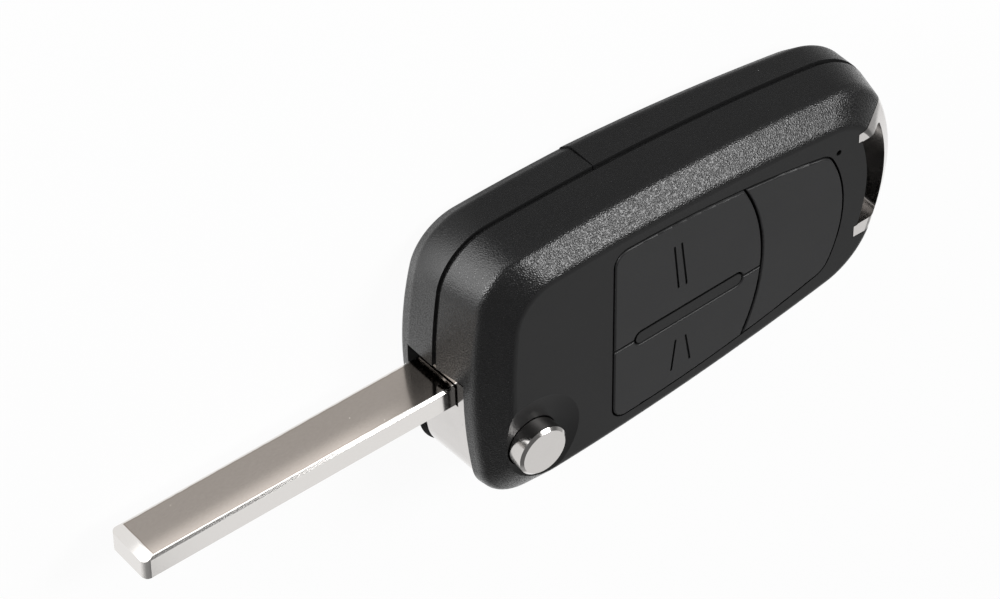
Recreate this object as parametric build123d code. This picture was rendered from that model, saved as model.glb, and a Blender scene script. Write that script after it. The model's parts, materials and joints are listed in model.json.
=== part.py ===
from build123d import *
import math
import os

# Folding key fob shell, in millimetres.
# Origin: on the flat back, on the axis that the blade folds about.
# +X runs towards the key ring, +Y towards the plain long side, +Z up through the buttons.

# Case outline, in plan, where the two halves part. It is symmetric about its own axis,
# which is turned a little from the blade's and passes through the middle of the widest place.
WIDEST_X = 5.0
AXIS_Y = 10.6
CASE_TURN = 0.8
HALF_WIDTH = 21.95
SIDE_RADIUS = 310.0
BLADE_END_REACH = 14.1
RING_END_REACH = 61.4
RING_END_SHIFT = 0.7
BLADE_END_RADIUS = 100.0
RING_END_RADIUS = 27.0
BLADE_CORNER_RADIUS = 8.6
RING_CORNER_RADIUS = 12.5

# Case heights
REAR_EDGE_Z = 2.4
PARTING_Z = 7.6
SHOULDER_Z = 14.3
FRONT_Z = 17.4
FRONT_FALL = 0.021

# How far each level draws in from the outline: sides, blade end, ring end
REAR_EDGE_DRAW = (0.4, -0.1, 0.5)
BACK_DRAW = (2.3, 0.2, 2.4)
SHOULDER_DRAW = (0.6, 1.3, 1.4)
FRONT_DRAW = (4.3, 5.4, 5.8)
REAR_EDGE_CORNER_SCALE = 0.96
BACK_CORNER_SCALE = 0.92
REAR_EDGE_END_RADIUS = 75.0
BACK_END_RADIUS = 52.0
SHOULDER_CORNER_SCALE = 0.85
FRONT_CORNER_SCALE = 0.8
FRONT_ROUND = 1.8
SHOULDER_ROUND = 1.6
BACK_ROUND = 1.0
REAR_EDGE_ROUND = 1.4

# Groove that shows where the halves part
PARTING_GROOVE = 0.8
PARTING_GROOVE_DEPTH = 0.6

# Battery cover, which sits on the back beyond the seam
SEAM_X = 17.6
SEAM_GAP = 0.15
COVER_SEAM_Z = 0.1
COVER_RISE = 0.028
COVER_PROUD = 0.3
COVER_EDGE_HEIGHT = 2.2
COVER_SEAT_GAP = 0.1
COVER_RIB_INSET = 1.95
COVER_RIB_THICKNESS = 0.85
COVER_RIB_LENGTH = 6.0
COVER_RIB_X = (26.0, 41.0)
COVER_RIB_TOP_Z = 9.2

# Walls and bays
WALL = 1.6
FLOOR = 1.6
ROOF = 2.5
UPPER_WALL = 2.2
UPPER_WALL_Z = 13.0
ROOF_INSET = 5.7
FLOOR_INSET = 3.6
FLOOR_CORNER_HEIGHT = 1.2
LOWER_WALL = 2.1
CROSS_WALL = 1.6
BAY_END_INSET = 11.4

# Chamber that the blade's carrier turns in
CHAMBER_RADIUS = 12.45
CHAMBER_WALL = 1.2
CHAMBER_FLOOR_Z = 2.0
CHAMBER_CEILING_Z = 12.6
CHAMBER_TOP_Y = 12.3
CARRIER_SIDE_GAP = 0.75
CARRIER_FACE_GAP = 0.15
CARRIER_FOLDED_GAP = 0.5

# Blade
BLADE_TIP_INSET = 8.7
BLADE_FACE_Y = 10.7
BLADE_THICKNESS = 3.8
BLADE_WIDTH = 7.6
BLADE_MID_Z = 7.0
BLADE_CHAMFER = 0.3
BLADE_TIP_ROUND = 1.0
BLADE_TIP_BEVEL = 1.5
BLADE_TIP_BEVEL_DEPTH = 0.4
BLADE_SHOULDER_X = -6.5
TANG_END_X = -1.5
TANG_THICKNESS = 2.8
TANG_WIDTH = 6.0
BLADE_FIT = 0.04
ROLL_PIN_X = -4.0
ROLL_PIN_RADIUS = 0.8
ROLL_PIN_BORE = 0.4
ROLL_PIN_INNER_Y = 5.2

# Slot that the folded blade lies in, and how far past straight the blade folds
OVER_FOLD = 5.0
STOW_SIDE_GAP = 0.4
STOW_FACE_GAP = 0.3
STOW_END_GAP = 0.6

# Carrier
CARRIER_REAR_DRAW = (0.6, 0.75, 0.6)
CARRIER_FRONT_DRAW = (0.7, 1.2, 0.7)
CARRIER_RADIUS = 8.3
SKIRT_RADIUS = 12.1
SKIRT_END_ANGLE = 272.0
CARRIER_BLOCK_ROUND = 0.3
MOUTH_GAP = 0.3
MOUTH_DEPTH = 1.3
SPIGOT_RADIUS = 6.4
SPIGOT_HEIGHT = 1.5
RUNNING_FIT = 0.08
REAR_BOSS_RADIUS = 4.32
REAR_BOSS_HEIGHT = 1.55
REAR_BORE_HEIGHT = 1.75

# Raised pad in the chamber, and the thrust washer between it and the carrier
THRUST_PAD_RADIUS = 8.1
THRUST_PAD_HEIGHT = 0.95
WASHER_INNER = 4.5
WASHER_OUTER = 7.8
WASHER_THICKNESS = 0.4
WASHER_GAP = 0.05

# Release button
BUTTON_RADIUS = 3.85
BUTTON_TOP_Z = 19.4
BUTTON_CHAMFER = 0.4
BUTTON_HOLE_GAP = 0.15
BUTTON_TRAVEL = 1.8
STEM_RADIUS = 3.6
STEM_BOTTOM_Z = 7.0
STEM_GAP = 0.3
LUG_RADIUS = 5.3
LUG_BOTTOM_Z = 13.0
LUG_TOP_Z = 14.7
LUG_ANGLE = 36.0
LUG_COUNT = 4
LUG_GAP = 0.2
LUG_SLOT_EXTRA_ANGLE = 4.0
SPRING_WELL_RADIUS = 2.95
SPRING_WELL_TOP_Z = 15.2
SCOOP_RADIUS = 34.1
SCOOP_DEPTH = 1.0

# Flip spring, wound inside the button
SPRING_RADIUS = 2.4
SPRING_WIRE = 0.6
SPRING_TURNS = 5.0
SPRING_END_GAP = 0.05

# Button pad on the front
PAD_LEFT_X = 13.2
PAD_MID_X = 32.0
PAD_RIGHT_INSET = 15.4
PAD_APEX_INSET = 12.3
PAD_Y = 10.7
PAD_HALF_LEFT = 15.6
PAD_HALF_MID = 14.35
PAD_HALF_RIGHT = 10.8
PAD_LEFT_ROUND = 2.4
PAD_RIGHT_ROUND = 3.5
PAD_GAP = 0.3
PAD_DEPTH = 1.5
PAD_FLOOR = 1.0
PAD_PROUD = 0.15
BUTTON_PLATE = 1.25
PAD_BUTTON_TRAVEL = 0.35
DIVIDER_APEX_X = 39.3
DIVIDER_Y = 10.5
DIVIDER_RADIUS = 29.0
SPLIT_Y = 8.3
RIB_X = (17.2, 35.7)
RIB_WIDTH = 1.9
RIB_PROUD = 0.1
EDGE_ROUND = 0.25
PEG_RADIUS = 0.8
PEG_LENGTH = 0.9
PEG_GAP = 0.05
PEG_POINTS = ((44.5, 5.0), (44.5, 16.5))
STUB_RADIUS = 1.4
STUB_GAP = 0.2
STUB_LENGTH = 0.85
STUB_POINTS = {"lock_button": (28.5, 17.0), "unlock_button": (28.5, 1.2)}
MARK_WIDTH = 0.35
MARK_DEPTH = 0.25
MARKS = {
    "lock_button": (((23.6, 21.6), (24.5, 13.4)), ((24.85, 21.6), (25.9, 13.3))),
    "unlock_button": (((24.2, 3.9), (23.5, -1.65)), ((25.9, 3.8), (26.8, -1.4))),
}
DIMPLE_INSET = 13.7
DIMPLE_Y = 20.8
DIMPLE_RADIUS = 0.45
DIMPLE_DEPTH = 0.8

# Keypad mat and board tray under the front
MAT_X = (15.6, 36.5)
MAT_Y = (-1.6, 24.0)
MAT_THICKNESS = 0.8
MAT_GAP = 0.05
MAT_ROUND = 2.0
RISER_RADIUS = 1.3
RISER_GAP = 0.1
TRAY_START_X = 15.6
TRAY_END_INSET = 20.4
TRAY_Y = (-0.6, 24.0)
TRAY_THICKNESS = 1.0
TRAY_WINDOW_START_X = 25.0
TRAY_WINDOW_INSET = 22.9
TRAY_WINDOW_Y = (3.5, 19.0)

# Screws through the rear housing's tongue
SCREW_X = 20.5
SCREW_Y = {"case_screw_lower": 2.0, "case_screw_upper": 22.0}
SCREW_RADIUS = 0.9
SCREW_HEAD_RADIUS = 1.7
SCREW_HEAD_HEIGHT = 1.1
SCREW_LENGTH = 6.5
SCREW_FIT = 0.03
SCREW_RECESS = 0.6
SCREW_RECESS_WIDTH = 0.45
SCREW_BOSS_RADIUS = 2.1
BOSS_GAP = 0.1
TONGUE_END_X = 22.6
TONGUE_Y = (-2.8, 27.0)
TONGUE_THICKNESS = 2.0
TONGUE_DROP = 0.2

# Key ring bar and the hole it closes
RING_Y = 12.6
RING_HALF = 7.7
NOSE_APEX_INSET = 8.2
NOSE_EDGE_INSET = 9.5
BAR_APEX_INSET = 3.5
BAR_EDGE_INSET = 5.0
BAR_CORNER = 1.0
BAR_ROOT_INSET = 10.2
BAR_ROOT_Y = (2.8, 22.0)
BAR_LOWER_ANGLE = -3.0
BAR_UPPER_ANGLE = 7.0
BAR_GAP = 0.12
HANG_TANG_INSET = (16.2, 8.8)
HANG_TANG_INNER = 7.9
HANG_TANG_WIDTH = 3.4
HANG_TANG_Z = (7.9, 11.2)
HANG_TANG_GAP = 0.1
HANG_BLOCK_INSET = 17.9
HANG_BLOCK_WIDTH = 6.4
HANG_PIN_INSET = 13.8
HANG_PIN_RADIUS = 1.0
HANG_PIN_Z = (7.9, 13.2)
HANG_PIN_FIT = 0.03

IN_CASE = Pos(WIDEST_X, AXIS_Y) * Rot(0, 0, CASE_TURN)
STOWED = Rot(0, 0, OVER_FOLD)
FAR = 60.0
UP = (0, 0, 1)

RING_END_X = WIDEST_X + RING_END_REACH
BAY_END_X = RING_END_X - BAY_END_INSET
PAD_RIGHT_X = RING_END_X - PAD_RIGHT_INSET
PAD_APEX_X = RING_END_X - PAD_APEX_INSET
DIMPLE_POINT = (RING_END_X - DIMPLE_INSET, DIMPLE_Y)
TRAY_X = (TRAY_START_X, RING_END_X - TRAY_END_INSET)
TRAY_WINDOW_X = (TRAY_WINDOW_START_X, RING_END_X - TRAY_WINDOW_INSET)
NOSE_APEX_X = RING_END_X - NOSE_APEX_INSET
NOSE_EDGE_X = RING_END_X - NOSE_EDGE_INSET
BAR_APEX_X = RING_END_X - BAR_APEX_INSET
BAR_EDGE_X = RING_END_X - BAR_EDGE_INSET
BAR_ROOT_X = RING_END_X - BAR_ROOT_INSET
HANG_TANG_X = tuple(RING_END_X - inset for inset in HANG_TANG_INSET)
HANG_BLOCK_X = RING_END_X - HANG_BLOCK_INSET
HANG_PIN_X = RING_END_X - HANG_PIN_INSET
BLADE_TIP_X = BLADE_TIP_INSET - RING_END_X
BLADE_REAR_Z = BLADE_MID_Z - BLADE_WIDTH / 2
BLADE_FRONT_Z = BLADE_MID_Z + BLADE_WIDTH / 2
BLADE_MID_Y = BLADE_FACE_Y - BLADE_THICKNESS / 2
CARRIER_FRONT_Z = CHAMBER_CEILING_Z - CARRIER_FACE_GAP
THRUST_PAD_Z = CHAMBER_FLOOR_Z + THRUST_PAD_HEIGHT
CARRIER_REAR_Z = THRUST_PAD_Z + WASHER_THICKNESS + WASHER_GAP
CARRIER_END_X = WIDEST_X - BLADE_END_REACH + CARRIER_REAR_DRAW[1]
CARRIER_TOP_Y = CHAMBER_TOP_Y - CARRIER_SIDE_GAP
STOW_WALL_Y = -(BLADE_FACE_Y - BLADE_THICKNESS) + STOW_SIDE_GAP
STOW_END_X = STOW_END_GAP - BLADE_TIP_X
REAR_BOSS_Z = CARRIER_REAR_Z + REAR_BOSS_HEIGHT
TONGUE_TOP_Z = PARTING_Z - TONGUE_DROP
TONGUE_REAR_Z = TONGUE_TOP_Z - TONGUE_THICKNESS


def side_half_width(u, inset):
    """Half width at a distance u along the case's axis from the widest place."""
    return HALF_WIDTH - inset - (SIDE_RADIUS - math.sqrt(SIDE_RADIUS**2 - u**2))


def end_corner(apex, radius, inset, inward, shift=0):
    """Point where an end's arc meets a side's, along the axis and across it."""
    half = side_half_width(apex, inset)
    for _ in range(8):
        u = apex + inward * (radius - math.sqrt(radius**2 - (half - shift) ** 2))
        half = side_half_width(u, inset)
    return u, half


def case_outline(draw, corner_scale=1.0, end_radius=BLADE_END_RADIUS):
    """Plan outline of the case: two bowed sides between two arched ends, with round corners."""
    side, blade_end, ring_end = draw
    blade_u = blade_end - BLADE_END_REACH
    ring_u = RING_END_REACH - ring_end
    au, aw = end_corner(blade_u, end_radius, side, 1)
    bu, bw = end_corner(ring_u, RING_END_RADIUS, side, -1, RING_END_SHIFT)
    cu, cw = end_corner(ring_u, RING_END_RADIUS, side, -1, -RING_END_SHIFT)
    widest = HALF_WIDTH - side
    face = make_face([
        ThreePointArc((au, -aw), (blade_u, 0), (au, aw)),
        ThreePointArc((au, aw), (0, widest), (bu, bw)),
        ThreePointArc((bu, bw), (ring_u, RING_END_SHIFT), (cu, -cw)),
        ThreePointArc((cu, -cw), (0, -widest), (au, -aw)),
    ])
    face = fillet(near(face, (au, -aw)) + near(face, (au, aw)), BLADE_CORNER_RADIUS * corner_scale)
    face = fillet(near(face, (cu, -cw)) + near(face, (bu, bw)), RING_CORNER_RADIUS * corner_scale)
    return IN_CASE * face


def near(shape, point):
    """The vertex of a plan shape that lies at a point."""
    return [v for v in shape.vertices() if math.dist((v.X, v.Y), point) < 0.01]


def inset_all(inset):
    return (inset, inset, inset)


def flat(height):
    """Level plane."""
    return Plane(origin=(0, 0, height))


def front_plane(depth):
    """Plane parallel to the front face, which falls towards the ring end."""
    return Plane(origin=(0, 0, FRONT_Z - depth), x_dir=(1, 0, -FRONT_FALL), z_dir=(FRONT_FALL, 0, 1))


def shoulder_plane(height):
    return Plane(origin=(0, 0, height), x_dir=(1, 0, -FRONT_FALL), z_dir=(FRONT_FALL, 0, 1))


def cover_plane(height):
    """Plane parallel to the battery cover's back, which rises towards the ring end."""
    start = COVER_SEAM_Z - COVER_RISE * SEAM_X
    return Plane(origin=(0, 0, start + height), x_dir=(1, 0, COVER_RISE), z_dir=(-COVER_RISE, 0, 1))


def rectangle(x, y):
    return make_face(Polyline((x[0], y[0]), (x[1], y[0]), (x[1], y[1]), (x[0], y[1]), close=True))


def disc(radius, at=(0, 0)):
    return Pos(at[0], at[1]) * Circle(radius)


def prism(plan, low, high):
    """Upright solid over a plan shape, between two heights."""
    return extrude(Pos(0, 0, low) * plan, amount=high - low, dir=UP)


def raised(plan, depth, height):
    """Solid over a plan shape, from a depth below the front face up by a height."""
    plane = front_plane(depth)
    return extrude(plane * plan, amount=height, dir=tuple(plane.z_dir))


def stack(*levels):
    """Solid drawn through plan outlines at successive planes."""
    return loft([plane * outline for plane, outline in levels], ruled=True)


def level_edges(solid, plane):
    """Edges of a solid that lie in a plane."""
    def off(point):
        return abs(plane.to_local_coords(point).Z)
    return [e for e in solid.edges() if max(off(e @ 0), off(e @ 0.5), off(e @ 1)) < 0.05]


def front_half():
    """Outer form of the front half, from the parting up to the buttons' face."""
    solid = stack(
        (flat(PARTING_Z), case_outline((0, 0, 0))),
        (shoulder_plane(SHOULDER_Z), case_outline(SHOULDER_DRAW, SHOULDER_CORNER_SCALE)),
        (front_plane(0), case_outline(FRONT_DRAW, FRONT_CORNER_SCALE)),
    )
    solid = fillet(level_edges(solid, front_plane(0)), FRONT_ROUND)
    return fillet(level_edges(solid, shoulder_plane(SHOULDER_Z)), SHOULDER_ROUND)


def rear_half():
    """Outer form of the rear half, with its flat back."""
    solid = stack(
        (flat(0), case_outline(BACK_DRAW, BACK_CORNER_SCALE, BACK_END_RADIUS)),
        (flat(REAR_EDGE_Z), case_outline(REAR_EDGE_DRAW, REAR_EDGE_CORNER_SCALE, REAR_EDGE_END_RADIUS)),
        (flat(PARTING_Z), case_outline((0, 0, 0))),
    )
    solid = fillet(level_edges(solid, flat(0)), BACK_ROUND)
    return fillet(level_edges(solid, flat(REAR_EDGE_Z)), REAR_EDGE_ROUND)


def cover_half():
    """Outer form of the battery cover's stretch, a little proud of the rear half."""
    back = tuple(draw - COVER_PROUD for draw in BACK_DRAW)
    edge = tuple(draw - COVER_PROUD for draw in REAR_EDGE_DRAW)
    solid = stack(
        (cover_plane(0), case_outline(back, BACK_CORNER_SCALE)),
        (cover_plane(COVER_EDGE_HEIGHT), case_outline(edge, REAR_EDGE_CORNER_SCALE)),
        (flat(PARTING_Z), case_outline((0, 0, 0))),
    )
    solid = fillet(level_edges(solid, cover_plane(0)), BACK_ROUND)
    return fillet(level_edges(solid, cover_plane(COVER_EDGE_HEIGHT)), REAR_EDGE_ROUND)


def parting_groove():
    band = case_outline(inset_all(-1.0)) - case_outline(inset_all(PARTING_GROOVE_DEPTH))
    return prism(band, PARTING_Z - PARTING_GROOVE / 2, PARTING_Z + PARTING_GROOVE / 2)


def chamber_plan():
    """Everything that the carrier sweeps through as it folds."""
    swept = rectangle((-FAR, 0), (-FAR, CHAMBER_TOP_Y))
    block = STOWED * rectangle((0, CARRIER_FOLDED_GAP - CARRIER_END_X), (-FAR, 0))
    return disc(CHAMBER_RADIUS) + swept + block


def chamber():
    return prism(chamber_plan(), CHAMBER_FLOOR_Z, CHAMBER_CEILING_Z)


def stow_slot():
    """Slot in the long side that the folded blade lies in."""
    plan = STOWED * rectangle((0, STOW_END_X), (-FAR, STOW_WALL_Y))
    return prism(plan, BLADE_REAR_Z - STOW_FACE_GAP, BLADE_FRONT_Z + STOW_FACE_GAP)


def mechanism_plan():
    """Plan of the chamber and the slot with the walls round them."""
    end = STOW_END_X + CHAMBER_WALL
    slot = STOWED * rectangle((-CHAMBER_RADIUS, end), (-FAR, STOW_WALL_Y + CHAMBER_WALL))
    side = rectangle((-FAR, 0), (-FAR, CHAMBER_TOP_Y + CHAMBER_WALL))
    return disc(CHAMBER_RADIUS + CHAMBER_WALL) + slot + side


def mirrored_y(distance):
    """The two heights in plan at a distance either side of the ring bar's middle."""
    return (RING_Y + distance, RING_Y - distance)


def hang_block_plan():
    """Solid corners of the front cover that the ring bar's tangs are pinned in."""
    plan = Sketch()
    outer = HANG_TANG_INNER + HANG_TANG_WIDTH / 2 + HANG_BLOCK_WIDTH / 2
    inner = outer - HANG_BLOCK_WIDTH
    for side in (1, -1):
        y = sorted((RING_Y + side * inner, RING_Y + side * outer))
        plan += rectangle((HANG_BLOCK_X, BAY_END_X + 1), y)
    return plan


def screw_boss_plan():
    plan = Sketch()
    for y in SCREW_Y.values():
        plan += disc(SCREW_BOSS_RADIUS, (SCREW_X, y))
    return plan


def front_bay():
    """Hollow inside the front cover, open at the parting."""
    space = stack(
        (flat(PARTING_Z), case_outline(inset_all(WALL))),
        (shoulder_plane(UPPER_WALL_Z), case_outline(inset_all(UPPER_WALL))),
        (front_plane(ROOF), case_outline(inset_all(ROOF_INSET), FRONT_CORNER_SCALE)),
    )
    space -= prism(mechanism_plan() + hang_block_plan() + screw_boss_plan(), 0, FRONT_Z)
    return space & prism(rectangle((-FAR, BAY_END_X), (-FAR, FAR)), 0, FRONT_Z)


def rear_bay():
    """Hollow inside the rear housing, short of the cross wall at the seam."""
    space = stack(
        (flat(FLOOR), case_outline(inset_all(FLOOR_INSET), BACK_CORNER_SCALE)),
        (flat(FLOOR + FLOOR_CORNER_HEIGHT), case_outline(inset_all(LOWER_WALL))),
        (flat(PARTING_Z), case_outline(inset_all(WALL))),
    )
    space -= prism(mechanism_plan(), 0, FRONT_Z)
    return space & prism(rectangle((-FAR, SEAM_X - CROSS_WALL), (-FAR, FAR)), 0, FRONT_Z)


def cover_bay():
    """Hollow inside the battery cover, open at the seam."""
    space = stack(
        (cover_plane(FLOOR), case_outline(inset_all(FLOOR_INSET), BACK_CORNER_SCALE)),
        (cover_plane(FLOOR + FLOOR_CORNER_HEIGHT), case_outline(inset_all(LOWER_WALL))),
        (flat(PARTING_Z), case_outline(inset_all(WALL))),
    )
    space -= prism(mechanism_plan(), -FRONT_Z, FRONT_Z)
    return space & prism(rectangle((-FAR, BAY_END_X), (-FAR, FAR)), -FRONT_Z, FRONT_Z)


def pad_outline():
    """Outline of the recess that the buttons lie in."""
    top = [(PAD_LEFT_X, PAD_HALF_LEFT), (PAD_MID_X, PAD_HALF_MID), (PAD_RIGHT_X, PAD_HALF_RIGHT)]
    upper = [(x, PAD_Y + half) for x, half in top]
    lower = [(x, PAD_Y - half) for x, half in top]
    face = make_face([
        ThreePointArc(*upper),
        ThreePointArc(upper[2], (PAD_APEX_X, PAD_Y), lower[2]),
        ThreePointArc(*reversed(lower)),
        Line(lower[0], upper[0]),
    ])
    face = fillet(near(face, upper[0]) + near(face, lower[0]), PAD_LEFT_ROUND)
    return fillet(near(face, upper[2]) + near(face, lower[2]), PAD_RIGHT_ROUND)


def capsule(grow):
    """Long rib between the two buttons."""
    length = RIB_X[1] - RIB_X[0] + 2 * grow
    shape = SlotOverall(length, RIB_WIDTH + 2 * grow)
    return Pos((RIB_X[0] + RIB_X[1]) / 2, SPLIT_Y) * shape


def pad_piece_plan(name):
    """Plan of one of the three pieces that fill the pad's recess."""
    inside = offset(pad_outline(), amount=-PAD_GAP)
    divider = (DIVIDER_APEX_X - DIVIDER_RADIUS, DIVIDER_Y)
    if name == "blank_panel":
        return inside - disc(DIVIDER_RADIUS + PAD_GAP / 2, divider)
    left = inside & disc(DIVIDER_RADIUS - PAD_GAP / 2, divider)
    left -= capsule(PAD_GAP)
    if name == "lock_button":
        return left & rectangle((-FAR, FAR), (SPLIT_Y + PAD_GAP / 2, FAR))
    return left & rectangle((-FAR, FAR), (-FAR, SPLIT_Y - PAD_GAP / 2))


def mark_plan(start, end):
    """Narrow round-ended groove between two points."""
    middle = ((start[0] + end[0]) / 2, (start[1] + end[1]) / 2)
    angle = math.degrees(math.atan2(end[1] - start[1], end[0] - start[0]))
    return Pos(*middle) * Rot(0, 0, angle) * SlotOverall(math.dist(start, end), MARK_WIDTH)


def round_top(solid):
    """Soften the edges of a piece's face on the pad."""
    return fillet(level_edges(solid, front_plane(-PAD_PROUD)), EDGE_ROUND)


def pad_button(name):
    """Pressable pad piece with its actuator stub and its engraved marks."""
    solid = round_top(raised(pad_piece_plan(name), BUTTON_PLATE - PAD_PROUD, BUTTON_PLATE))
    stub_top = BUTTON_PLATE - PAD_PROUD - EDGE_ROUND
    stub_depth = BUTTON_PLATE - PAD_PROUD + STUB_LENGTH
    solid += raised(disc(STUB_RADIUS, STUB_POINTS[name]), stub_depth, stub_depth - stub_top)
    for start, end in MARKS[name]:
        solid -= raised(mark_plan(start, end), MARK_DEPTH - PAD_PROUD, MARK_DEPTH + PAD_PROUD)
    return solid


def blank_panel():
    """Fixed pad piece, pegged into the recess's floor."""
    solid = round_top(raised(pad_piece_plan("blank_panel"), PAD_DEPTH, PAD_DEPTH + PAD_PROUD))
    for point in PEG_POINTS:
        solid += raised(disc(PEG_RADIUS, point), PAD_DEPTH + PEG_LENGTH, PEG_LENGTH + EDGE_ROUND)
    return solid


def ring_zone():
    """Plan of the ring end, where the bar takes the case's place."""
    low, high = BAR_ROOT_Y
    upper = math.radians(BAR_UPPER_ANGLE)
    lower = math.radians(BAR_LOWER_ANGLE)
    return make_face(Polyline(
        (BAR_ROOT_X, low),
        (BAR_ROOT_X + FAR * math.cos(lower), low + FAR * math.sin(lower)),
        (BAR_ROOT_X + FAR * math.cos(upper), high + FAR * math.sin(upper)),
        (BAR_ROOT_X, high),
        close=True,
    ))


def bulge(apex_x, edge_x):
    """Plan from inside the case out to an arc across the ring hole."""
    high, low = mirrored_y(RING_HALF)
    start = HANG_BLOCK_X
    return make_face([
        Polyline((edge_x, low), (start, low), (start, high), (edge_x, high)),
        ThreePointArc((edge_x, high), (apex_x, RING_Y), (edge_x, low)),
    ])


def ring_hole_plan():
    """Hole inside the bar."""
    hole = bulge(BAR_APEX_X, BAR_EDGE_X)
    high, low = mirrored_y(RING_HALF)
    return fillet(near(hole, (BAR_EDGE_X, high)) + near(hole, (BAR_EDGE_X, low)), BAR_CORNER)


def tang_y(side, gap):
    inner = HANG_TANG_INNER - gap
    outer = HANG_TANG_INNER + HANG_TANG_WIDTH + gap
    return sorted((RING_Y + side * inner, RING_Y + side * outer))


def tang(side, gap, low):
    """Tang of the ring bar, or its pocket when grown by a gap."""
    plan = rectangle((HANG_TANG_X[0] - gap, HANG_TANG_X[1] + gap), tang_y(side, gap))
    return prism(plan, low, HANG_TANG_Z[1] + gap)


def hang_pin_point(side):
    return (HANG_PIN_X, RING_Y + side * (HANG_TANG_INNER + HANG_TANG_WIDTH / 2))


def ring_cut():
    """What the case gives up to the bar and the ring hole."""
    plan = ring_zone() - bulge(NOSE_APEX_X, NOSE_EDGE_X)
    cut = prism(plan, -FRONT_Z, 2 * FRONT_Z)
    for side in (1, -1):
        cut += tang(side, HANG_TANG_GAP, PARTING_Z - HANG_TANG_GAP)
    return cut


def key_ring_bar():
    """Metal bar across the ring end, on two tangs inside the case."""
    plan = offset(ring_zone() - bulge(NOSE_APEX_X, NOSE_EDGE_X), amount=-BAR_GAP)
    plan -= ring_hole_plan()
    solid = (front_half() + cover_half()) & prism(plan, -FRONT_Z, 2 * FRONT_Z)
    for side in (1, -1):
        solid += tang(side, 0, HANG_TANG_Z[0])
        solid -= prism(disc(HANG_PIN_RADIUS + HANG_PIN_FIT, hang_pin_point(side)), 0, FRONT_Z)
    return solid


def ring_bar_pin(side):
    return prism(disc(HANG_PIN_RADIUS, hang_pin_point(side)), *HANG_PIN_Z)


def front_cover():
    """Front cover with the scoop, the pad's recess and the mechanism's seats."""
    cover = front_half() - parting_groove()
    cover -= chamber() + stow_slot() + front_bay() + ring_cut()
    recess_top = CARRIER_FRONT_Z + SPIGOT_HEIGHT + CARRIER_FACE_GAP
    cover -= prism(disc(SPIGOT_RADIUS + RUNNING_FIT), CHAMBER_CEILING_Z, recess_top)
    cover -= prism(disc(LUG_RADIUS + LUG_GAP), recess_top, LUG_TOP_Z + LUG_GAP)
    cover -= prism(disc(BUTTON_RADIUS + BUTTON_HOLE_GAP), LUG_TOP_Z, FRONT_Z + 1)
    cover -= Pos(0, 0, FRONT_Z - SCOOP_DEPTH + SCOOP_RADIUS) * Sphere(SCOOP_RADIUS)
    cover -= raised(pad_outline(), PAD_DEPTH, PAD_DEPTH + 1)
    cover += raised(capsule(0), PAD_DEPTH + PAD_FLOOR / 2, PAD_DEPTH + PAD_FLOOR / 2 + RIB_PROUD)
    for point in STUB_POINTS.values():
        cover -= raised(disc(STUB_RADIUS + STUB_GAP, point), ROOF + 1, ROOF)
    for point in PEG_POINTS:
        cover -= raised(disc(PEG_RADIUS + PEG_GAP, point), ROOF + 1, ROOF)
    for y in SCREW_Y.values():
        boss = prism(disc(SCREW_BOSS_RADIUS, (SCREW_X, y)), TONGUE_TOP_Z, FRONT_Z - ROOF)
        cover += boss
        cover -= prism(disc(SCREW_RADIUS + SCREW_FIT, (SCREW_X, y)), TONGUE_REAR_Z, screw_tip_z() + 0.5)
    for side in (1, -1):
        pin_hole = disc(HANG_PIN_RADIUS + HANG_PIN_FIT, hang_pin_point(side))
        cover -= prism(pin_hole, PARTING_Z, HANG_PIN_Z[1] + HANG_TANG_GAP)
    return cover - raised(disc(DIMPLE_RADIUS, DIMPLE_POINT), DIMPLE_DEPTH, DIMPLE_DEPTH + 1)


def screw_tip_z():
    return TONGUE_REAR_Z + SCREW_LENGTH


def rear_housing():
    """Rear housing under the blade's end, with the boss that the carrier turns on."""
    reach = rectangle((-FAR, SEAM_X), (-FAR, FAR))
    housing = (rear_half() & prism(reach, -1, PARTING_Z)) - parting_groove()
    housing -= chamber() + stow_slot() + rear_bay()
    housing += prism(disc(THRUST_PAD_RADIUS), CHAMBER_FLOOR_Z - 1, THRUST_PAD_Z)
    housing += prism(disc(REAR_BOSS_RADIUS), CHAMBER_FLOOR_Z - 1, REAR_BOSS_Z)
    tongue = rectangle((SEAM_X - CROSS_WALL / 2, TONGUE_END_X), TONGUE_Y)
    housing += prism(tongue, TONGUE_REAR_Z, TONGUE_TOP_Z)
    for y in SCREW_Y.values():
        housing -= prism(disc(SCREW_RADIUS + SCREW_FIT, (SCREW_X, y)), 0, PARTING_Z)
    return housing


def rib_band():
    """Plan of the band just inside the front cover's walls, where the cover's ribs stand."""
    outer = case_outline(inset_all(COVER_RIB_INSET))
    band = outer - case_outline(inset_all(COVER_RIB_INSET + COVER_RIB_THICKNESS))
    slot_wall = STOW_WALL_Y + CHAMBER_WALL + BOSS_GAP * 2
    inner = STOWED * rectangle((0, FAR), (slot_wall, slot_wall + COVER_RIB_THICKNESS))
    upper = band & rectangle((-FAR, FAR), (AXIS_Y, FAR))
    return upper + inner


def battery_cover():
    """Lift-off cover over the board and battery bay."""
    reach = rectangle((SEAM_X + SEAM_GAP, FAR * 2), (-FAR, FAR))
    cover = cover_half() & prism(reach, -FRONT_Z, PARTING_Z - COVER_SEAT_GAP)
    cover -= parting_groove()
    cover -= stow_slot() + cover_bay() + ring_cut()
    for x in COVER_RIB_X:
        span = rectangle((x, x + COVER_RIB_LENGTH), (-FAR, FAR))
        ribs = prism(rib_band() & span, FLOOR, COVER_RIB_TOP_Z)
        cover += ribs & (cover_half() + prism(reach, PARTING_Z - 1, FRONT_Z))
    return cover


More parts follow.
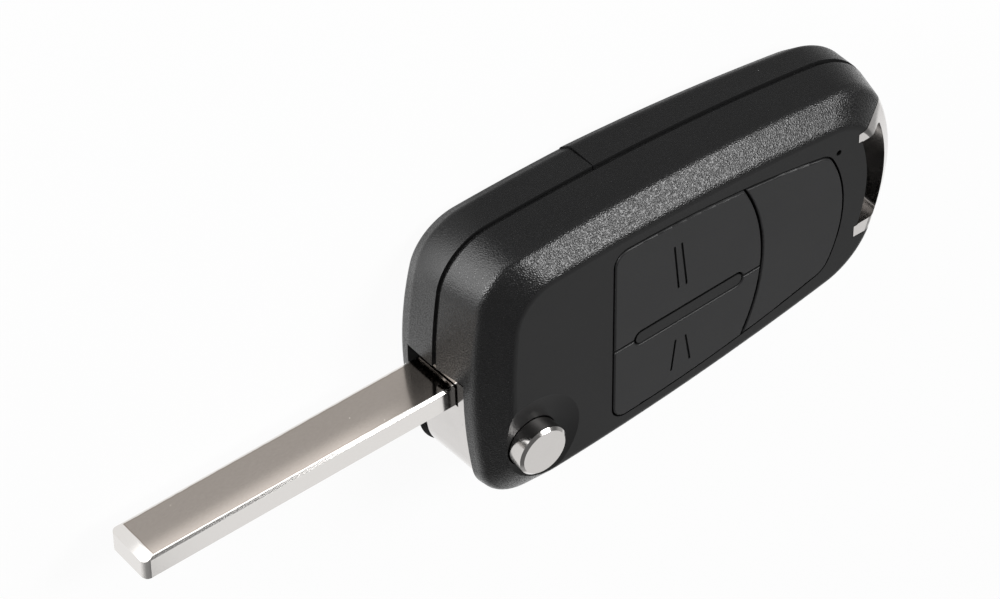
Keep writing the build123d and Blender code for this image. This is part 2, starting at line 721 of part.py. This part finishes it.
def blade_carrier():
    """Carrier that the blade is pinned in, turning between the rear boss and the front recess."""
    skirt = math.radians(SKIRT_END_ANGLE)
    wedge = make_face(Polyline(
        (0, 0), (-FAR, 0), (-FAR, -FAR), (FAR * math.cos(skirt), FAR * math.sin(skirt)), close=True,
    ))
    plan = disc(CARRIER_RADIUS) + rectangle((-FAR, 0), (0, CARRIER_TOP_Y)) + (disc(SKIRT_RADIUS) & wedge)
    flanks = stack(
        (flat(CARRIER_REAR_Z), case_outline(CARRIER_REAR_DRAW)),
        (flat(CARRIER_FRONT_Z), case_outline(CARRIER_FRONT_DRAW)),
    )
    solid = flanks & prism(plan, CARRIER_REAR_Z, CARRIER_FRONT_Z)
    corner = [e for e in solid.edges().filter_by(Axis.Z) if e.center().Y > CARRIER_TOP_Y - 0.01]
    solid = fillet(corner, CARRIER_BLOCK_ROUND)
    solid += prism(disc(SPIGOT_RADIUS), CARRIER_FRONT_Z, CARRIER_FRONT_Z + SPIGOT_HEIGHT)
    bore_top = CARRIER_REAR_Z + REAR_BORE_HEIGHT
    solid -= prism(disc(REAR_BOSS_RADIUS + RUNNING_FIT), 0, bore_top)
    solid -= prism(disc(STEM_RADIUS + STEM_GAP), bore_top, FRONT_Z)
    slot_floor = LUG_BOTTOM_Z - BUTTON_TRAVEL - LUG_GAP
    solid -= lugs(LUG_RADIUS + LUG_GAP, LUG_ANGLE + LUG_SLOT_EXTRA_ANGLE, slot_floor, FRONT_Z)
    return solid - blade_form(BLADE_FIT) - blade_mouth() - roll_pin_bore()


def lugs(radius, angle, low, high):
    """Ring of equal sectors about the pivot."""
    half = math.radians(angle / 2)
    reach = radius / math.cos(half)
    wedge = make_face(Polyline(
        (0, 0),
        (reach * math.cos(half), -reach * math.sin(half)),
        (reach * math.cos(half), reach * math.sin(half)),
        close=True,
    ))
    sector = wedge & disc(radius)
    plan = Sketch()
    for index in range(LUG_COUNT):
        plan += Rot(0, 0, index * 360 / LUG_COUNT) * sector
    return prism(plan, low, high)


def blade_form(fit):
    """Blade with its narrower tang, or its pocket when grown by a fit."""
    def bar(x, thickness, width):
        size = (x[1] - x[0], thickness + 2 * fit, width + 2 * fit)
        return Pos((x[0] + x[1]) / 2, BLADE_MID_Y, BLADE_MID_Z) * Box(*size)
    blade = bar((BLADE_TIP_X, BLADE_SHOULDER_X + fit), BLADE_THICKNESS, BLADE_WIDTH)
    if fit == 0:
        tip = [e for e in blade.edges().filter_by(Axis.Y) if e.center().X < BLADE_TIP_X + 1]
        blade = fillet(tip, BLADE_TIP_ROUND)
        long_faces = [f for f in blade.faces() if abs(f.normal_at().Y) > 0.9]
        rim = [e for f in long_faces for e in f.edges() if e.center().X < BLADE_SHOULDER_X - 0.1]
        blade = chamfer(rim, BLADE_CHAMFER) - tip_bevels()
    return blade + bar((BLADE_SHOULDER_X - 1, TANG_END_X + fit), TANG_THICKNESS, TANG_WIDTH)


def tip_bevels():
    """Wedges off both wide faces at the blade's tip."""
    slope = BLADE_TIP_BEVEL_DEPTH / BLADE_TIP_BEVEL
    wedges = Sketch()
    for side in (1, -1):
        face_y = BLADE_MID_Y + side * BLADE_THICKNESS / 2
        wedges += make_face(Polyline(
            (BLADE_TIP_X - 1, face_y - side * (BLADE_TIP_BEVEL + 1) * slope),
            (BLADE_TIP_X + BLADE_TIP_BEVEL + 1, face_y + side * slope),
            (BLADE_TIP_X - 1, face_y + side * slope),
            close=True,
        ))
    return prism(wedges, 0, FRONT_Z)


def blade_mouth():
    """Wider mouth of the blade's pocket, on every side but the one under the blade."""
    y = (BLADE_FACE_Y - BLADE_THICKNESS - BLADE_FIT, BLADE_FACE_Y + MOUTH_GAP)
    mouth = rectangle((-FAR, CARRIER_END_X + MOUTH_DEPTH), y)
    return prism(mouth, BLADE_REAR_Z - MOUTH_GAP, BLADE_FRONT_Z + MOUTH_GAP)


def along_y(radius, start, end, at):
    """Round bar along Y, at an x and a height."""
    length = end - start
    return Pos(at[0], start + length / 2, at[1]) * Rot(90, 0, 0) * Cylinder(radius, length)


def roll_pin_bore():
    at = (ROLL_PIN_X, BLADE_MID_Z)
    return along_y(ROLL_PIN_RADIUS + BLADE_FIT, ROLL_PIN_INNER_Y - 2 * BLADE_FIT, FAR, at)


def blade_roll_pin():
    at = (ROLL_PIN_X, BLADE_MID_Z)
    start, end = ROLL_PIN_INNER_Y, CARRIER_TOP_Y - CARRIER_FACE_GAP
    pin = along_y(ROLL_PIN_RADIUS, start, end, at)
    return pin - along_y(ROLL_PIN_BORE, start - 1, end + 1, at)


def blade():
    return blade_form(0) - roll_pin_bore()


def release_button():
    """Round release button with its locking lugs and hollow stem."""
    cap = prism(disc(BUTTON_RADIUS), LUG_BOTTOM_Z, BUTTON_TOP_Z)
    cap = chamfer(level_edges(cap, flat(BUTTON_TOP_Z)), BUTTON_CHAMFER)
    button = cap + prism(disc(STEM_RADIUS), STEM_BOTTOM_Z, LUG_BOTTOM_Z)
    button += lugs(LUG_RADIUS, LUG_ANGLE, LUG_BOTTOM_Z, LUG_TOP_Z)
    return button - prism(disc(SPRING_WELL_RADIUS), 0, SPRING_WELL_TOP_Z)


def flip_spring():
    """Coil spring that throws the blade out and lifts the button."""
    start = REAR_BOSS_Z + SPRING_WIRE / 2 + SPRING_END_GAP
    rise = SPRING_WELL_TOP_Z - SPRING_WIRE / 2 - SPRING_END_GAP - start
    coil = Pos(0, 0, start) * Helix(pitch=rise / SPRING_TURNS, height=rise, radius=SPRING_RADIUS)
    wire = Plane(origin=coil @ 0, z_dir=coil % 0) * Circle(SPRING_WIRE / 2)
    return sweep(wire, path=coil)


def thrust_washer():
    ring = disc(WASHER_OUTER) - disc(WASHER_INNER)
    return prism(ring, THRUST_PAD_Z, THRUST_PAD_Z + WASHER_THICKNESS)


def inner_plate(x, y, depth, thickness):
    """Plate parallel to the front face, with holes for the screw bosses."""
    plan = rectangle(x, y)
    plan = fillet(plan.vertices(), MAT_ROUND)
    for screw_y in SCREW_Y.values():
        plan -= disc(SCREW_BOSS_RADIUS + BOSS_GAP, (SCREW_X, screw_y))
    return raised(plan, depth + thickness, thickness)


def keypad_mat():
    """Soft mat under the front, with a riser below each button's stub."""
    depth = ROOF + MAT_GAP
    mat = inner_plate(MAT_X, MAT_Y, depth, MAT_THICKNESS)
    stub_depth = BUTTON_PLATE - PAD_PROUD + STUB_LENGTH
    riser_top = stub_depth + PAD_BUTTON_TRAVEL + RISER_GAP
    for point in STUB_POINTS.values():
        mat += raised(disc(RISER_RADIUS, point), depth + MAT_THICKNESS / 2, depth + MAT_THICKNESS / 2 - riser_top)
    return mat


def board_tray():
    """Open tray under the mat, located on the screw bosses."""
    depth = ROOF + MAT_GAP + MAT_THICKNESS + MAT_GAP
    tray = inner_plate(TRAY_X, TRAY_Y, depth, TRAY_THICKNESS)
    window = rectangle(TRAY_WINDOW_X, TRAY_WINDOW_Y)
    return tray - raised(fillet(window.vertices(), MAT_ROUND), depth + TRAY_THICKNESS + 1, TRAY_THICKNESS + 2)


def case_screw(y):
    """Cross-recess screw, put in from the back."""
    at = (SCREW_X, y)
    head_z = TONGUE_REAR_Z - SCREW_HEAD_HEIGHT
    screw = prism(disc(SCREW_HEAD_RADIUS, at), head_z, TONGUE_REAR_Z)
    screw += prism(disc(SCREW_RADIUS, at), TONGUE_REAR_Z, screw_tip_z())
    arm = (-SCREW_RADIUS, SCREW_RADIUS)
    half = (-SCREW_RECESS_WIDTH / 2, SCREW_RECESS_WIDTH / 2)
    cross = Pos(*at) * (rectangle(arm, half) + rectangle(half, arm))
    return screw - prism(cross, head_z - 1, head_z + SCREW_RECESS)


PIECES = {
    "front_cover": front_cover,
    "rear_housing": rear_housing,
    "battery_cover": battery_cover,
    "lock_button": lambda: pad_button("lock_button"),
    "unlock_button": lambda: pad_button("unlock_button"),
    "blank_panel": blank_panel,
    "keypad_mat": keypad_mat,
    "board_tray": board_tray,
    "blade": blade,
    "blade_carrier": blade_carrier,
    "blade_roll_pin": blade_roll_pin,
    "release_button": release_button,
    "flip_spring": flip_spring,
    "thrust_washer": thrust_washer,
    "key_ring_bar": key_ring_bar,
    "ring_bar_pin_upper": lambda: ring_bar_pin(1),
    "ring_bar_pin_lower": lambda: ring_bar_pin(-1),
    "case_screw_upper": lambda: case_screw(SCREW_Y["case_screw_upper"]),
    "case_screw_lower": lambda: case_screw(SCREW_Y["case_screw_lower"]),
}

os.makedirs("parts", exist_ok=True)
for name, make in PIECES.items():
    export_step(make(), f"parts/{name}.step")
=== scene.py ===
import json

import bpy
from mathutils import Matrix, Vector


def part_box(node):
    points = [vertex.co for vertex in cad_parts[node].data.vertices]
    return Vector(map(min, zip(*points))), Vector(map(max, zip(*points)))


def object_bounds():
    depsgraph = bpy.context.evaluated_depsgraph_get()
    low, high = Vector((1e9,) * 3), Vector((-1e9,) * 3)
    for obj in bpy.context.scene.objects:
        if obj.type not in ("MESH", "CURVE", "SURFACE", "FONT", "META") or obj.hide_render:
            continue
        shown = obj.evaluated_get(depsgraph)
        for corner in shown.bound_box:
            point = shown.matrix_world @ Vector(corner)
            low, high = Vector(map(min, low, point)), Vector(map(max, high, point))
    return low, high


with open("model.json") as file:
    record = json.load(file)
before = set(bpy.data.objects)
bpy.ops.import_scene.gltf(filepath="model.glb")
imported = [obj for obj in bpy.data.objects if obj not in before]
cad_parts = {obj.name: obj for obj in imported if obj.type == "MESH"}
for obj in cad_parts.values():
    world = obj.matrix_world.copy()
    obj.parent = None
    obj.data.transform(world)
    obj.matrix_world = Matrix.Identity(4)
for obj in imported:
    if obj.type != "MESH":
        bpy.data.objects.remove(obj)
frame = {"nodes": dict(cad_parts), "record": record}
cad_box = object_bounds()

MM = 0.001
WHITE = (1, 1, 1, 1)

# Camera, fitted to the photograph: lens and sensor in millimetres, place in metres
CAMERA_LENS = 178.85
CAMERA_SENSOR = 36.0
CAMERA_CLIP = (0.01, 20.0)
CAMERA_AT = (-0.27884, 0.47681, 0.36960)
CAMERA_RIGHT = (0.78621, -0.00643, 0.61793)
CAMERA_UP = (0.44087, 0.70653, -0.55358)
CAMERA_BACK = (-0.43302, 0.70766, 0.55831)

# Floor; its shade and its glare show in reflections only, beside the case and off its rear corner
FLOOR_SIZE = 6.0
FLOOR_COLOUR = (0.86, 0.86, 0.86, 1)
FLOOR_SEEN = 0.95
FLOOR_REFLECTED = 1.10
FLOOR_SHADED = 0.30
FLOOR_SHADE_X = (-0.012, 0.004)
FLOOR_SHADE_Y = (0.016, 0.030)
FLOOR_GLARE = 5.0
FLOOR_GLARE_X = (-0.018, -0.006)
FLOOR_GLARE_Y = (0.021, 0.031)

# Surroundings near the floor and higher up, and the upward slopes between which they change
WORLD_LOW = 0.50
WORLD_HIGH = 0.18
WORLD_TURN = (0.24, 0.38)

# Square soft lights, each in a direction from the middle of the part
LIGHTS = {
    "overhead_box": {"towards": (0.52, 0.44, 0.72), "distance": 0.50, "size": 0.19, "watts": 1.7},
    "left_box": {"towards": (-0.80, 0.58, 0.10), "distance": 0.60, "size": 0.26, "watts": 4.0},
    "back_box": {"towards": (0.46, -0.71, 0.54), "distance": 0.80, "size": 0.30, "watts": 0.25},
}

# Moulded plastics; roughness is that of the grain's peaks and pits, and faces that look up have their own
MOULDED_IOR = 1.42
PLASTIC_CLOUD_SIZE = 9 * MM
PLASTIC_CLOUD_LIFT = 1.35
DUST = {"cell": 2.4 * MM, "radius": 0.09 * MM, "share": 0.10}
DUST_COLOUR = (0.16, 0.16, 0.16)
FACE_TURN = (0.90, 0.985)
GRAIN_PEAK_AND_PIT = (0.62, 0.38)
SHELL_PLASTIC = {
    "colour": (0.007, 0.007, 0.0072),
    "grain_size": 0.18 * MM,
    "grain_depth": 0.048 * MM,
    "roughness": (0.16, 0.40),
    "face_grain": 0.22,
    "face_roughness": 0.50,
}
PAD_PLASTIC = {
    "colour": (0.012, 0.012, 0.0125),
    "grain_size": 0.12 * MM,
    "grain_depth": 0.008 * MM,
    "roughness": (0.42, 0.50),
    "face_grain": 1.0,
    "face_roughness": 0.46,
}
TRAY_PLASTIC = {
    "colour": (0.03, 0.03, 0.032),
    "grain_size": 0.5 * MM,
    "grain_depth": 0.01 * MM,
    "roughness": (0.46, 0.56),
    "face_grain": 1.0,
    "face_roughness": 0.52,
}

# Keypad mat
RUBBER_CLOUD_SIZE = 2 * MM
RUBBER_COLOURS = ((0.07, 0.07, 0.075), (0.11, 0.11, 0.115))
RUBBER_ROUGHNESS = (0.62, 0.74)
RUBBER_GRAIN_SIZE = 0.3 * MM
RUBBER_GRAIN_DEPTH = 0.006 * MM

# Plated metals
PLATE_CLOUD_SIZE = 3 * MM
PLATE_CLOUD_DROP = 0.88
PLATE_PITS = {"cell": 1.1 * MM, "radius": 0.06 * MM}
PLATE_PIT_COLOUR = (0.10, 0.09, 0.08)
PORE_SIZE = 0.18 * MM
PORE_DEPTH = 0.0015 * MM
SATIN_PLATE = {"colour": (0.59, 0.57, 0.555), "roughness": (0.10, 0.22), "pit_share": 0.14}
PLAIN_STEEL = {"colour": (0.60, 0.59, 0.57), "roughness": (0.25, 0.37), "pit_share": 0.05}

# Blade; its wide faces get a painted dark reflection, browner than the plated steel, which stops short of
# the edges and the tip with a dark rim
PAINTED_REFLECTION_INSET = 0.52 * MM
PAINTED_REFLECTION_TIP_INSET = 1.75 * MM
PAINTED_REFLECTION_BLUR = 0.03 * MM
PAINTED_REFLECTION_RIM = 4 * PAINTED_REFLECTION_BLUR
PAINTED_REFLECTION_WAVER = 0.08 * MM
PAINTED_REFLECTION_WAVER_SIZE = 1.5 * MM
WIDE_FACE_TURN = (0.98, 0.99)
# Colours of the painted dark reflection on the blade's wide faces, not the steel's own colour
PAINTED_REFLECTION_COLOURS = ((0.26, 0.23, 0.205), (0.33, 0.30, 0.275))
BRIGHT_COLOURS = ((0.64, 0.62, 0.60), (0.72, 0.70, 0.68))
RIM_COLOUR = (0.16, 0.12, 0.09)
BLADE_PITS = {"cell": 1.6 * MM, "radius": 0.08 * MM, "share": 0.25}
BLADE_PIT_COLOUR = (0.62, 0.58, 0.52)
BRUSHING_STRETCH = (0.15, 1, 1)
BRUSHING_SIZE = 0.08 * MM
BRUSHING_DEPTH = 0.0003 * MM
BRUSHED_ROUGHNESS = (0.08, 0.15)
CORNER_TURN = (0.08, 0.22)
CORNER_ROUGHNESS = 0.50

# Share of a speck's radius that is fully covered
SPECK_CORE = 0.6


def fresh_tree(owner):
    """Empty node tree of a material or a world."""
    owner.use_nodes = True
    owner.node_tree.nodes.clear()
    return owner.node_tree


def put(tree, kind, values=None, **settings):
    """Adds a node; each value is a number, a colour or another node's output."""
    node = tree.nodes.new(kind)
    for name, setting in settings.items():
        setattr(node, name, setting)
    for key, value in (values or {}).items():
        socket = node.inputs[key]
        if isinstance(value, bpy.types.NodeSocket):
            tree.links.new(value, socket)
        else:
            socket.default_value = value
    return node


def calculate(tree, operation, *values):
    """Result of one operation on numbers."""
    return put(tree, "ShaderNodeMath", dict(enumerate(values)), operation=operation).outputs[0]


def split(tree, vector):
    """X, Y and Z of a vector."""
    return put(tree, "ShaderNodeSeparateXYZ", {"Vector": vector}).outputs


def spread(tree, value, low, high, start=0.0, end=1.0):
    """Maps a value's range from start to end onto low to high."""
    values = {"Value": value, "From Min": start, "From Max": end, "To Min": low, "To Max": high}
    return put(tree, "ShaderNodeMapRange", values).outputs[0]


def tint_value(tree, factor, first, second):
    """Number that goes from the first to the second with a factor."""
    return put(tree, "ShaderNodeMix", {"Factor": factor, "A": first, "B": second}).outputs[0]


def colour_sockets(sockets):
    """Those of a mix node's sockets that hold colours."""
    return [socket for socket in sockets if socket.type == "RGBA"]


def tint(tree, factor, first, second):
    """Colour that goes from the first to the second with a factor."""
    node = put(tree, "ShaderNodeMix", {"Factor": factor}, data_type="RGBA")
    for socket, colour in zip(colour_sockets(node.inputs), (first, second)):
        if isinstance(colour, bpy.types.NodeSocket):
            tree.links.new(colour, socket)
        else:
            socket.default_value = (*colour, 1)
    return colour_sockets(node.outputs)[0]


def noise(tree, place, size, detail=2.0, roughness=0.5):
    """Cloudy noise whose blobs are about one size across."""
    values = {"Vector": place, "Scale": 1 / size, "Detail": detail, "Roughness": roughness}
    return put(tree, "ShaderNodeTexNoise", values).outputs["Fac"]


def bump(tree, height, depth, share=1.0):
    """Surface relief of a real depth, or of a share of it."""
    values = {"Height": height, "Distance": depth, "Strength": share}
    return put(tree, "ShaderNodeBump", values).outputs["Normal"]


def specks(tree, place, cell, radius, share):
    """Scattered round specks, one in a share of the cells, as a mask."""
    cells = put(tree, "ShaderNodeTexVoronoi", {"Vector": place, "Scale": 1 / cell})
    near = spread(tree, cells.outputs["Distance"], 1, 0, radius / cell * SPECK_CORE, radius / cell)
    pick = put(tree, "ShaderNodeSeparateColor", {"Color": cells.outputs["Color"]}).outputs[0]
    chosen = calculate(tree, "LESS_THAN", pick, share)
    return calculate(tree, "MULTIPLY", near, chosen)


def new_material(name):
    """A material with an empty tree, and the place coordinates of its object."""
    mat = bpy.data.materials.new(name)
    tree = fresh_tree(mat)
    place = put(tree, "ShaderNodeTexCoord").outputs["Object"]
    return mat, tree, place


def add_surface(tree, values):
    """Principled shader with the given values, as the material's surface."""
    shader = put(tree, "ShaderNodeBsdfPrincipled", values)
    put(tree, "ShaderNodeOutputMaterial", {"Surface": shader.outputs[0]})


def moulded_plastic(name, colour, grain_size, grain_depth, roughness, face_grain, face_roughness):
    """Black moulded plastic with a spark-eroded grain, faint clouding and a little dust."""
    mat, tree, place = new_material(name)
    cloud = noise(tree, place, PLASTIC_CLOUD_SIZE, detail=3.0)
    lighter = tuple(part * PLASTIC_CLOUD_LIFT for part in colour)
    body = tint(tree, cloud, colour, lighter)
    dust = specks(tree, place, **DUST)
    grain = noise(tree, place, grain_size, detail=0.0)
    facing = put(tree, "ShaderNodeNewGeometry").outputs["Normal"]
    face = spread(tree, split(tree, facing)["Z"], 0.0, 1.0, *FACE_TURN)
    grainy = spread(tree, grain, *roughness, *GRAIN_PEAK_AND_PIT)
    add_surface(tree, {
        "Base Color": tint(tree, dust, body, DUST_COLOUR),
        "Roughness": tint_value(tree, face, grainy, face_roughness),
        "IOR": MOULDED_IOR,
        "Normal": bump(tree, grain, grain_depth, spread(tree, face, 1.0, face_grain)),
    })
    return mat


def soft_rubber(name):
    """Matt silicone of the keypad mat."""
    mat, tree, place = new_material(name)
    cloud = noise(tree, place, RUBBER_CLOUD_SIZE, detail=4.0)
    grain = noise(tree, place, RUBBER_GRAIN_SIZE)
    add_surface(tree, {
        "Base Color": tint(tree, cloud, *RUBBER_COLOURS),
        "Roughness": spread(tree, cloud, *RUBBER_ROUGHNESS),
        "IOR": MOULDED_IOR,
        "Normal": bump(tree, grain, RUBBER_GRAIN_DEPTH),
    })
    return mat


def plated_metal(name, colour, roughness, pit_share):
    """Plated metal: faint clouding, fine pores and a few dark specks."""
    mat, tree, place = new_material(name)
    cloud = noise(tree, place, PLATE_CLOUD_SIZE, detail=4.0)
    darker = tuple(part * PLATE_CLOUD_DROP for part in colour)
    plate = tint(tree, cloud, darker, colour)
    pits = specks(tree, place, **PLATE_PITS, share=pit_share)
    pores = noise(tree, place, PORE_SIZE)
    add_surface(tree, {
        "Base Color": tint(tree, pits, plate, PLATE_PIT_COLOUR),
        "Metallic": 1.0,
        "Roughness": spread(tree, cloud, *roughness),
        "Normal": bump(tree, pores, PORE_DEPTH),
    })
    return mat


def painted_reflection_masks(tree, place, normal):
    """Masks of the wide faces' painted dark reflection, with its dark rim and without it."""
    low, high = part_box("blade")
    parts = split(tree, place)
    waver = spread(tree, noise(tree, place, PAINTED_REFLECTION_WAVER_SIZE), -PAINTED_REFLECTION_WAVER, PAINTED_REFLECTION_WAVER)
    along = calculate(tree, "ADD", parts["X"], waver)
    upward = calculate(tree, "ADD", parts["Z"], waver)
    borders = (
        (upward, high[2] - PAINTED_REFLECTION_INSET, -1),
        (upward, low[2] + PAINTED_REFLECTION_INSET, 1),
        (along, low[0] + PAINTED_REFLECTION_TIP_INSET, 1),
    )
    sideways = calculate(tree, "ABSOLUTE", normal["Y"])
    wide = spread(tree, sideways, 0, 1, *WIDE_FACE_TURN)
    with_rim = wide
    without_rim = wide
    for value, border, side in borders:
        outer = border - side * PAINTED_REFLECTION_BLUR
        inner = border + side * PAINTED_REFLECTION_BLUR
        deeper = border + side * PAINTED_REFLECTION_RIM
        with_rim = calculate(tree, "MULTIPLY", with_rim, spread(tree, value, 0, 1, outer, inner))
        without_rim = calculate(tree, "MULTIPLY", without_rim, spread(tree, value, 0, 1, inner, deeper))
    return with_rim, without_rim


def blade_steel(name):
    """Plated steel: bright edges and tip, and wide faces with a browner painted dark reflection."""
    mat, tree, place = new_material(name)
    stretched = put(tree, "ShaderNodeMapping", {"Vector": place, "Scale": BRUSHING_STRETCH}).outputs[0]
    brushing = noise(tree, stretched, BRUSHING_SIZE, detail=3.0, roughness=0.6)
    facing = put(tree, "ShaderNodeNewGeometry").outputs["True Normal"]
    normal = split(tree, facing)
    with_rim, without_rim = painted_reflection_masks(tree, place, normal)
    # Painted dark reflection: the wide faces are coloured browner than the steel's own colour
    painted_reflection = tint(tree, without_rim, RIM_COLOUR, tint(tree, brushing, *PAINTED_REFLECTION_COLOURS))
    body = tint(tree, with_rim, tint(tree, brushing, *BRIGHT_COLOURS), painted_reflection)
    pits = specks(tree, place, **BLADE_PITS)
    sloping = calculate(tree, "ABSOLUTE", calculate(tree, "MULTIPLY", normal["X"], normal["Z"]))
    corner = spread(tree, sloping, 0, 1, *CORNER_TURN)
    brushed = spread(tree, brushing, *BRUSHED_ROUGHNESS)
    add_surface(tree, {
        "Base Color": tint(tree, pits, body, BLADE_PIT_COLOUR),
        "Metallic": 1.0,
        "Roughness": tint_value(tree, corner, brushed, CORNER_ROUGHNESS),
        "Normal": bump(tree, brushing, BRUSHING_DEPTH),
    })
    return mat


def make_materials():
    """Every finish, by the name of its slot in the record."""
    return {
        "shell_black": moulded_plastic("shell_black", **SHELL_PLASTIC),
        "pad_black": moulded_plastic("pad_black", **PAD_PLASTIC),
        "mat_rubber": soft_rubber("mat_rubber"),
        "tray_plastic": moulded_plastic("tray_plastic", **TRAY_PLASTIC),
        "blade_steel": blade_steel("blade_steel"),
        "satin_metal": plated_metal("satin_metal", **SATIN_PLATE),
        "steel_fittings": plated_metal("steel_fittings", **PLAIN_STEEL),
    }


def dress_nodes(materials):
    """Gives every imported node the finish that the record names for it."""
    slots = {part["node"]: part["material_slot"] for part in frame["record"]["subparts"]}
    for name, obj in frame["nodes"].items():
        obj.data.materials.clear()
        obj.data.materials.append(materials[slots[name]])


def new_object(name, data):
    """Object in the scene that holds the given data."""
    obj = bpy.data.objects.new(name, data)
    bpy.context.scene.collection.objects.link(obj)
    return obj


def mirrored_floor(tree, place):
    """How bright glossy surfaces see the floor from place to place, with a painted shade beside the case
    and a painted glare off its rear corner.
    """
    parts = split(tree, place)
    shade_x = spread(tree, parts["X"], 0, 1, *FLOOR_SHADE_X)
    shade_y = spread(tree, parts["Y"], 0, 1, *FLOOR_SHADE_Y)
    shade = calculate(tree, "MULTIPLY", shade_x, shade_y)
    glare_x = spread(tree, parts["X"], 1, 0, *FLOOR_GLARE_X)
    glare_y = spread(tree, parts["Y"], 0, 1, *FLOOR_GLARE_Y)
    glare = calculate(tree, "MULTIPLY", glare_x, glare_y)
    shaded = spread(tree, shade, FLOOR_REFLECTED, FLOOR_SHADED)
    return calculate(tree, "MULTIPLY_ADD", glare, FLOOR_GLARE - FLOOR_REFLECTED, shaded)


def floor_white():
    """Pale cloth that reads nearly white to the camera and in most reflections, which also show a painted
    shade and a painted glare, and keeps a soft shadow.
    """
    mat, tree, place = new_material("floor_white")
    cloth = put(tree, "ShaderNodeBsdfDiffuse", {"Color": FLOOR_COLOUR})
    ray = put(tree, "ShaderNodeLightPath").outputs
    strength = tint_value(tree, ray["Is Glossy Ray"], 1.0, mirrored_floor(tree, place))
    glow = put(tree, "ShaderNodeEmission", {"Color": WHITE, "Strength": strength})
    seen = calculate(tree, "MULTIPLY", ray["Is Camera Ray"], FLOOR_SEEN)
    share = calculate(tree, "ADD", ray["Is Glossy Ray"], seen)
    mixed = put(tree, "ShaderNodeMixShader", {0: share, 1: cloth.outputs[0], 2: glow.outputs[0]})
    put(tree, "ShaderNodeOutputMaterial", {"Surface": mixed.outputs[0]})
    return mat


def make_floor():
    """Flat floor at the height of the part's back."""
    half = FLOOR_SIZE / 2
    corners = [(-half, -half, 0), (half, -half, 0), (half, half, 0), (-half, half, 0)]
    mesh = bpy.data.meshes.new("floor")
    mesh.from_pydata(corners, [], [(0, 1, 2, 3)])
    mesh.materials.append(floor_white())
    floor = new_object("floor", mesh)


def make_world():
    """Pale surroundings, lighter near the floor, that are white where the camera sees them."""
    world = bpy.data.worlds.new("studio")
    bpy.context.scene.world = world
    tree = fresh_tree(world)
    towards = put(tree, "ShaderNodeTexCoord").outputs["Generated"]
    around = spread(tree, split(tree, towards)["Z"], WORLD_LOW, WORLD_HIGH, *WORLD_TURN)
    seen = put(tree, "ShaderNodeLightPath").outputs["Is Camera Ray"]
    strength = calculate(tree, "MAXIMUM", seen, around)
    sky = put(tree, "ShaderNodeBackground", {"Color": WHITE, "Strength": strength})
    put(tree, "ShaderNodeOutputWorld", {"Surface": sky.outputs[0]})


def make_lights(middle):
    """Soft lights that all shine towards the middle of the part."""
    for name, setup in LIGHTS.items():
        data = bpy.data.lights.new(name, "AREA")
        data.shape = "SQUARE"
        data.size = setup["size"]
        data.energy = setup["watts"]
        light = new_object(name, data)
        towards = Vector(setup["towards"]).normalized()
        light.location = middle + towards * setup["distance"]
        light.rotation_mode = "QUATERNION"
        light.rotation_quaternion = towards.to_track_quat("Z", "Y")


def make_camera():
    """Camera with the photograph's place, turn and lens."""
    data = bpy.data.cameras.new("camera")
    data.sensor_width = CAMERA_SENSOR
    data.lens = CAMERA_LENS
    data.clip_start, data.clip_end = CAMERA_CLIP
    camera = new_object("camera", data)
    turn = Matrix((CAMERA_RIGHT, CAMERA_UP, CAMERA_BACK)).transposed()
    camera.rotation_mode = "QUATERNION"
    camera.rotation_quaternion = turn.to_quaternion()
    camera.location = CAMERA_AT
    bpy.context.scene.camera = camera


make_camera()
make_world()
make_floor()
make_lights((cad_box[0] + cad_box[1]) / 2)
dress_nodes(make_materials())
bpy.context.scene.view_settings.view_transform = "Standard"
